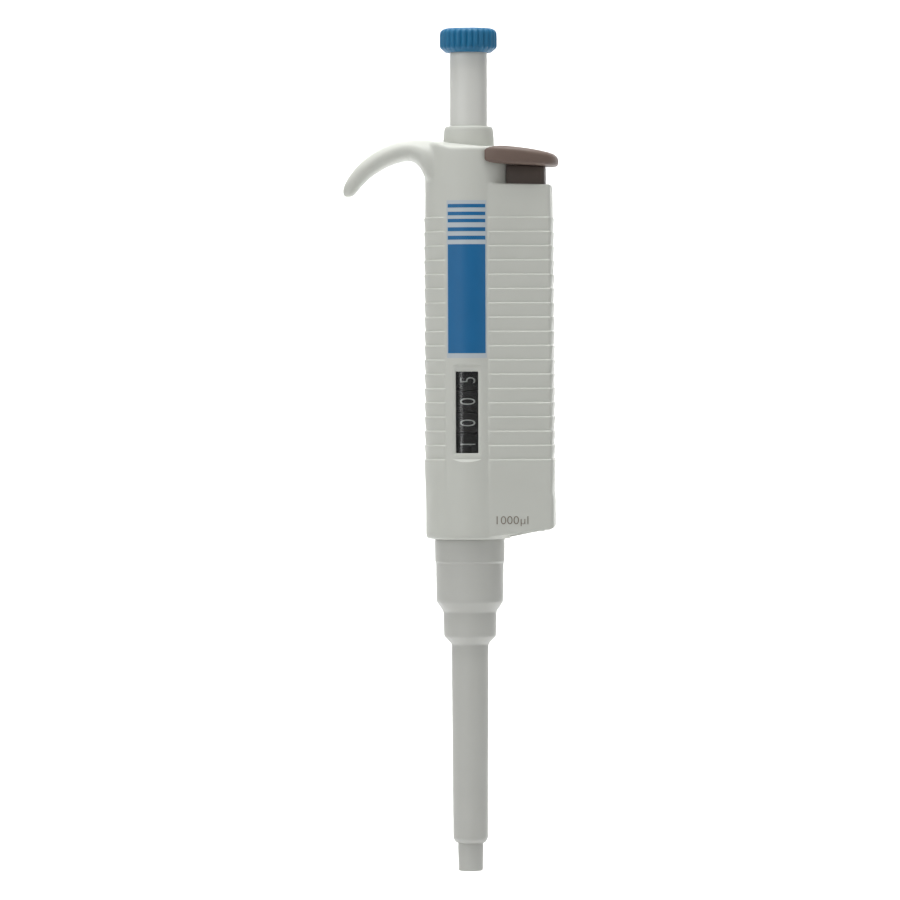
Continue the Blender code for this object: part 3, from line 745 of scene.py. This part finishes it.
def knob():
    """The fluted knob with the cap set in its top."""
    count = KNOB_FLUTES * FLUTE_POINTS
    loops = []
    for z, radius, depth in KNOB_SECTIONS:
        loop = []
        for i in range(count):
            angle = math.tau * i / count
            groove = (0.5 + 0.5 * math.cos(KNOB_FLUTES * angle)) ** FLUTE_POWER
            reach = radius - depth * groove
            loop.append((reach * math.cos(angle), reach * math.sin(angle), z))
        loops.append(loop)
    body = make(lofted(loops), "thumb_knob", KNOB, 50.0)
    boolean(body, disc(*TUBE_SOCKET))
    boolean(body, disc(*CAP_RECESS))
    body.data.shade_smooth()
    body.data.set_sharp_from_angle(angle=KNOB_SHARP_ANGLE)
    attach(body, "button")
    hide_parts("push_button")
    cap = turned("knob_cap", CAP_PROFILE, KNOB, 96, 0.12)
    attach(cap, "button")
    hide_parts("button_cap")


# Ejector ---------------------------------------------------------------------------------------

# The pad is a squarish oval about this x, cut out round the tower.
PAD_CENTRE_X = 12.0
PAD_REACH_X = 13.6
PAD_REACH_Y = 13.2
PAD_POWER = 0.72
PAD_TOWER_GAP = 0.35
# How far the pad wraps round the tower: a share of its width, less an amount that shrinks with
# the inset and would be gone at the last of these
PAD_WRAP_SHARE = 0.947
PAD_WRAP_LESS = 0.76
PAD_WRAP_INSET = 4.0
PAD_WRAP_STEPS = 48
PAD_SWEEP_STEPS = 80
# The underside falls evenly from this x, and the top falls away in a curve.
PAD_LEVEL_X = 5.0
PAD_SLOPE = 0.045
PAD_CURVE = 0.006
# The pad's sections as height, inset and whether it follows the top's curve
PAD_SECTIONS = (
    (202.12, 1.3, False), (202.2, 0.8, False), (202.4, 0.35, False), (202.8, 0.08, False),
    (203.3, 0.0, False), (205.7, 0.0, True), (206.2, 0.12, True), (206.65, 0.42, True),
    (206.95, 0.85, True), (207.15, 1.4, True), (207.2, 1.9, True),
)
STEM_LOW = 186.3
STEM_HIGH = 201.95
STEM_BEVEL = 0.25
STEM_SHARP_ANGLE = math.radians(35.0)


def pad_loop(height, inset, top):
    """A section of the pad: round the tower first, then round the oval."""
    hug = HANDLE_R + PAD_TOWER_GAP + inset
    reach_x = PAD_REACH_X - inset
    reach_y = PAD_REACH_Y - inset
    wrap = PAD_WRAP_SHARE * reach_y - PAD_WRAP_LESS * (1.0 - inset / PAD_WRAP_INSET)
    turn = math.asin(wrap / hug)
    loop = []
    for i in range(PAD_WRAP_STEPS + 1):
        angle = turn - 2.0 * turn * i / PAD_WRAP_STEPS
        loop.append((hug * math.cos(angle), hug * math.sin(angle)))
    # The oval starts and ends where the wrap does.
    lean = ((PAD_CENTRE_X - hug * math.cos(turn)) / reach_x) ** (1.0 / PAD_POWER)
    sweep = math.pi / 2 + math.asin(lean)
    for i in range(PAD_SWEEP_STEPS + 1):
        angle = sweep * (i / (PAD_SWEEP_STEPS // 2) - 1.0)
        x = PAD_CENTRE_X + reach_x * squared(math.cos(angle), PAD_POWER)
        y = reach_y * squared(math.sin(angle), PAD_POWER)
        loop.append((x, y))
    if top:
        return [(x, y, height - PAD_CURVE * (x - PAD_LEVEL_X) ** 2) for x, y in loop]
    return [(x, y, height - PAD_SLOPE * (x - PAD_LEVEL_X)) for x, y in loop]


def ejector():
    loops = [pad_loop(*section) for section in PAD_SECTIONS]
    pad = make(lofted(loops), "ejector_pad", BROWN, 50.0)
    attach(pad, "ejector")
    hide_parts("ejector_button")
    low = [(x, y, STEM_LOW) for x, y in stem_outline()]
    high = [(x, y, STEM_HIGH - PAD_SLOPE * (x - PAD_LEVEL_X)) for x, y in stem_outline()]
    # The block takes the darker brown, which is painted shade under the pad.
    stem = make(lofted([low, high]), "ejector_block", STEM_BROWN_PAINTED_SHADE)
    bevel = stem.modifiers.new("edges", "BEVEL")
    bevel.width = STEM_BEVEL * MM
    bevel.segments = 3
    bevel.limit_method = "ANGLE"
    apply_modifiers(stem)
    stem.data.shade_smooth()
    stem.data.set_sharp_from_angle(angle=STEM_SHARP_ANGLE)
    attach(stem, "ejector")
    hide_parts("ejector_stem")


# Counter and print -----------------------------------------------------------------------------

# What the counter shows at rest, from the lowest wheel up
SHOWN = {"thousands": 1, "hundreds": 0, "tens": 0, "units": 5}
DIGITS = 10
DIGIT_SIZE = 6.4
DIGIT_SQUEEZE = 0.72
DIGIT_PROUD = 0.04
# Digits sit a little to the right of the window's middle, as an angle.
DIGIT_SHIFT = 0.035
# Distance between the cuts that let a flat digit bend round its wheel
BEND_CUT = 0.35
BEND_CUTS = 8
TEXT_DEPTH = 0.03
TEXT_THINNING = 0.012
TICKS = 50
TICKS_TO_A_NUMBER = 5
TICK_HALF_ANGLE = 0.007
TICK_LENGTH = 0.45
TICK_RIM_GAP = 0.25
TICK_OUTER = 1.006
TICK_INNER = 0.99
PRINT_SIZE = 3.4
PRINT_X = 12.5
PRINT_Z = 100.6
PRINT_STRETCH = 1.06
PRINT_PROUD = 0.045


def text_mesh(text, size):
    """Flat outline mesh of a text, centred, in millimetres."""
    curve = bpy.data.curves.new("text", "FONT")
    curve.body = text
    curve.size = size
    curve.align_x = "CENTER"
    curve.align_y = "CENTER"
    curve.extrude = TEXT_DEPTH
    curve.resolution_u = 4
    curve.offset = -TEXT_THINNING * size
    obj = bpy.data.objects.new("text", curve)
    bpy.context.scene.collection.objects.link(obj)
    depsgraph = bpy.context.evaluated_depsgraph_get()
    mesh = bpy.data.meshes.new_from_object(obj.evaluated_get(depsgraph))
    bpy.data.objects.remove(obj, do_unlink=True)
    return mesh


def digit_on_wheel(bm, text, step, middle):
    """One digit, its top to the left, wrapped on a wheel some tenths round from the front."""
    flat = bmesh.new()
    flat.from_mesh(text_mesh(text, DIGIT_SIZE))
    for i in range(-BEND_CUTS, BEND_CUTS + 1):
        bmesh.ops.bisect_plane(flat, geom=flat.verts[:] + flat.edges[:] + flat.faces[:],
                               plane_co=(0.0, BEND_CUT * i, 0.0), plane_no=(0.0, 1.0, 0.0))
    centre = FRONT + DIGIT_SHIFT + math.tau * step / DIGITS
    for vertex in flat.verts:
        across, up, depth = vertex.co
        angle = centre - up / WHEEL_R
        radius = WHEEL_R + DIGIT_PROUD + depth
        height = middle + across * DIGIT_SQUEEZE
        vertex.co = Vector((radius * math.cos(angle), radius * math.sin(angle), height))
    wrapped = bpy.data.meshes.new("digit")
    flat.to_mesh(wrapped)
    flat.free()
    bm.from_mesh(wrapped)


def counter():
    for i, (body, value) in enumerate(SHOWN.items()):
        middle = LOWEST_WHEEL + WHEEL_PITCH * i + WHEEL_HEIGHT / 2
        bm = bmesh.new()
        for step in range(DIGITS):
            # The units wheel is numbered in fives, and the others in ones.
            count = 5 * (step + 1) if body == "units" else value - step
            digit = count % DIGITS
            digit_on_wheel(bm, str(digit), step, middle)
        marks = make(bm, f"{body}_digits", DIGIT)
        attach(marks, body)
    ticks = bmesh.new()
    for step in range(TICKS):
        if step % TICKS_TO_A_NUMBER != 0:
            add_tick(ticks, step)
    scale = make(ticks, "units_ticks", DIGIT)
    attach(scale, "units")


def add_tick(bm, step):
    """A fine graduation on the upper rim of the units wheel."""
    middle = FRONT + math.tau * step / TICKS
    high = LOWEST_WHEEL + WHEEL_PITCH * 3 + WHEEL_HEIGHT - TICK_RIM_GAP
    half = TICK_HALF_ANGLE
    corners = ((-half, TICK_OUTER), (half, TICK_OUTER), (half, TICK_INNER), (-half, TICK_INNER))
    outline = [(WHEEL_R * math.cos(middle + a) * f, WHEEL_R * math.sin(middle + a) * f)
               for a, f in corners]
    add_prism(bm, outline, high - TICK_LENGTH, high)


def capacity_print():
    """Capacity printed on the base, on the ejector bay's flank."""
    bm = bmesh.new()
    bm.from_mesh(text_mesh("1000µl", PRINT_SIZE))
    for vertex in bm.verts:
        across, up, depth = vertex.co
        x = PRINT_X + across * PRINT_STRETCH
        y = -bay_half(x) - PRINT_PROUD - depth
        vertex.co = Vector((x, y, PRINT_Z + up))
    marks = make(bm, "capacity_print", PRINT_GREY)
    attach(marks, "handle")


def finish_cad_nodes():
    """Materials for the design's own pieces that stay."""
    # The dark_brown slot takes the block's darker brown, which is painted shade.
    by_slot = {"shell": SHELL, "sleeve": SLEEVE, "wheel": WHEEL, "frame": FRAME_GREY,
               "steel": STEEL, "brass": BRASS, "ptfe": PTFE, "rubber": RUBBER, "clear": CLEAR,
               "blue": KNOB, "label": FILM, "brown": BROWN, "dark_brown": STEM_BROWN_PAINTED_SHADE}
    slots = {part["node"]: part["material_slot"] for part in frame["record"]["subparts"]}
    for name, obj in frame["nodes"].items():
        obj.data.materials.clear()
        obj.data.materials.append(by_slot[slots[name]])


# Stage, in metres -------------------------------------------------------------------------------

# The floor lies well below the nozzle, so less of its light reaches the ribs from below.
FLOOR_DROP = 0.3005
BACKDROP_HALF = 3.0
BACKDROP_NEAR = -3.0
BACKDROP_TURN_Y = 0.9
BACKDROP_TURN_R = 0.5
BACKDROP_TOP = 2.5
WORLD_STRENGTH = 0.2
AT_MIDDLE = (0.0, 0.0, 0.0)
# Each lamp's offset from the pipette's middle, its size, power and spread in degrees, and the
# offset of the place it aims at
LAMPS = {
    "key": ((-0.75, -0.7, 0.55), (0.8, 0.8), 3.7, 180.0, AT_MIDDLE),
    "strip": ((-0.36, -1.0, 0.1), (0.13, 1.1), 1.0, 180.0, AT_MIDDLE),
    "fill": ((0.95, -0.6, 0.3), (0.8, 0.8), 1.5, 180.0, AT_MIDDLE),
    "top": ((0.0, -0.2, 1.1), (0.7, 0.7), 9.0, 180.0, AT_MIDDLE),
    "back": ((0.0, 0.75, 1.3), (2.0, 1.6), 30.0, 110.0, (0.0, 1.3, 0.0)),
}
SENSOR_WIDTH = 36.0
CAMERA_AZIMUTH = math.radians(3.6)
CAMERA_ROLL = math.radians(-0.18)
CAMERA_DISTANCE = 1.5
CAMERA_RISE = 0.031
# Width that the view takes in at the target
VIEW_SPAN = 0.2574
# The target, from the nozzle's end
TARGET_X = -0.0056
TARGET_Z = 0.1205


def stage():
    floor_z = cad_box[0][2] - FLOOR_DROP
    bm = bmesh.new()
    turn = [math.radians(a) for a in range(0, 91, 10)]
    sweep = [(BACKDROP_NEAR, 0.0)]
    sweep += [(BACKDROP_TURN_Y + BACKDROP_TURN_R * math.sin(a),
               BACKDROP_TURN_R - BACKDROP_TURN_R * math.cos(a)) for a in turn]
    sweep += [(BACKDROP_TURN_Y + BACKDROP_TURN_R, BACKDROP_TOP)]
    rows = [[bm.verts.new((x, y, floor_z + z)) for y, z in sweep]
            for x in (-BACKDROP_HALF, BACKDROP_HALF)]
    for i in range(len(sweep) - 1):
        bm.faces.new((rows[0][i], rows[1][i], rows[1][i + 1], rows[0][i + 1]))
    mesh = bpy.data.meshes.new("backdrop")
    bm.to_mesh(mesh)
    bm.free()
    mesh.shade_smooth()
    backdrop = bpy.data.objects.new("backdrop", mesh)
    mesh.materials.append(plastic("paper", (0.9, 0.9, 0.9, 1.0), 0.9, 0.0, 0.0))
    bpy.context.scene.collection.objects.link(backdrop)

    world = bpy.data.worlds.new("studio")
    bpy.context.scene.world = world
    world.use_nodes = True
    background = world.node_tree.nodes["Background"]
    background.inputs["Color"].default_value = (1.0, 1.0, 1.0, 1.0)
    background.inputs["Strength"].default_value = WORLD_STRENGTH
    middle = Vector((AXIS_X, 0.0, (cad_box[0][2] + cad_box[1][2]) / 2))
    for name, (offset, size, energy, spread, aim_offset) in LAMPS.items():
        light = bpy.data.lights.new(name, "AREA")
        light.shape = "RECTANGLE"
        light.size, light.size_y = size
        light.energy = energy
        light.spread = math.radians(spread)
        lamp = bpy.data.objects.new(name, light)
        lamp.location = middle + Vector(offset)
        aim = middle + Vector(aim_offset)
        lamp.rotation_euler = (aim - lamp.location).to_track_quat("-Z", "Y").to_euler()
        bpy.context.scene.collection.objects.link(lamp)


def camera():
    """At the height of the handle's middle, a little to the ejector's side."""
    target = Vector((AXIS_X + TARGET_X, 0.0, NOZZLE_Z + TARGET_Z))
    data = bpy.data.cameras.new("camera")
    data.sensor_width = SENSOR_WIDTH
    data.lens = SENSOR_WIDTH * CAMERA_DISTANCE / VIEW_SPAN
    eye = bpy.data.objects.new("camera", data)
    eye.location = target + Vector((math.sin(CAMERA_AZIMUTH) * CAMERA_DISTANCE,
                                    -math.cos(CAMERA_AZIMUTH) * CAMERA_DISTANCE, CAMERA_RISE))
    aim = (target - eye.location).to_track_quat("-Z", "Y")
    roll = Matrix.Rotation(CAMERA_ROLL, 3, "Z")
    eye.rotation_euler = (aim.to_matrix() @ roll).to_euler()
    bpy.context.scene.collection.objects.link(eye)
    bpy.context.scene.camera = eye


bpy.context.scene.view_settings.view_transform = "Standard"
camera()
stage()
finish_cad_nodes()
handle()
front_pieces()
outer_turned()
knob()
ejector()
counter()
capacity_print()
